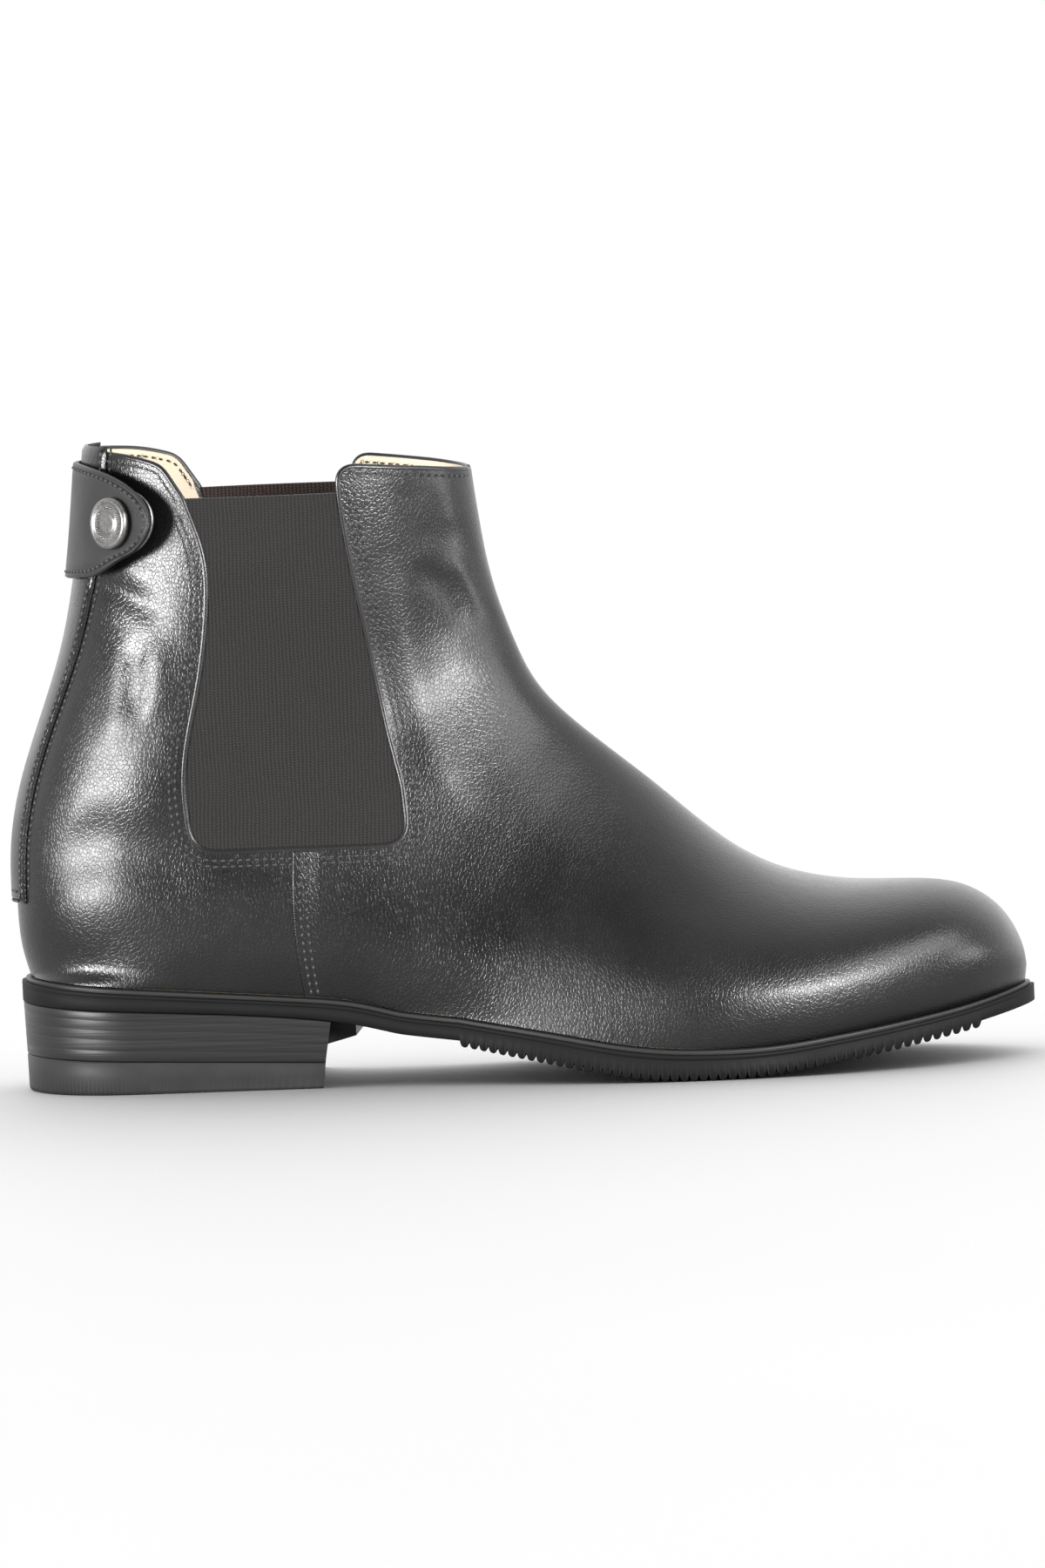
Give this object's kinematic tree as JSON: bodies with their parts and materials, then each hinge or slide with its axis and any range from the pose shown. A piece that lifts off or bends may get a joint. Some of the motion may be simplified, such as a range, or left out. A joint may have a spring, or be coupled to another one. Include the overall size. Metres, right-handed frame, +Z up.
{
  "type": "paddock boot",
  "caption": "Right black leather paddock boot with elastic side panels, back zip under a flap, snap tab, ribbed rubber sole and stacked heel.",
  "frame": {"origin": "on the floor, in the middle of the boot's length and width", "axes": "+X to the toe, +Y to the inner (medial) side of the right foot, +Z up"},
  "size_m": [0.293, 0.1, 0.1851],
  "materials": {
    "black_leather": "smooth, polished, fine grain",
    "black_rubber": "satin",
    "heel_stack": "waxed edge of stacked layers",
    "black_elastic": "ribbed woven elastic",
    "zip_tape": "woven tape",
    "cream_leather": "soft unfinished lining leather",
    "dark_nickel": "dark brushed nickel"
  },
  "bodies": {
    "root": {"outsole": "black_rubber", "welt": "black_leather", "heel_stack": "heel_stack", "heel_top_lift": "black_rubber", "insole": "cream_leather", "upper": "black_leather", "gore_lateral": "black_elastic", "gore_medial": "black_elastic", "zip": "zip_tape", "zip_flap": "black_leather", "zip_pull": "black_leather", "snap_tab": "black_leather", "snap_base": "dark_nickel", "snap_cap": "dark_nickel"}
  },
  "joints": []
}
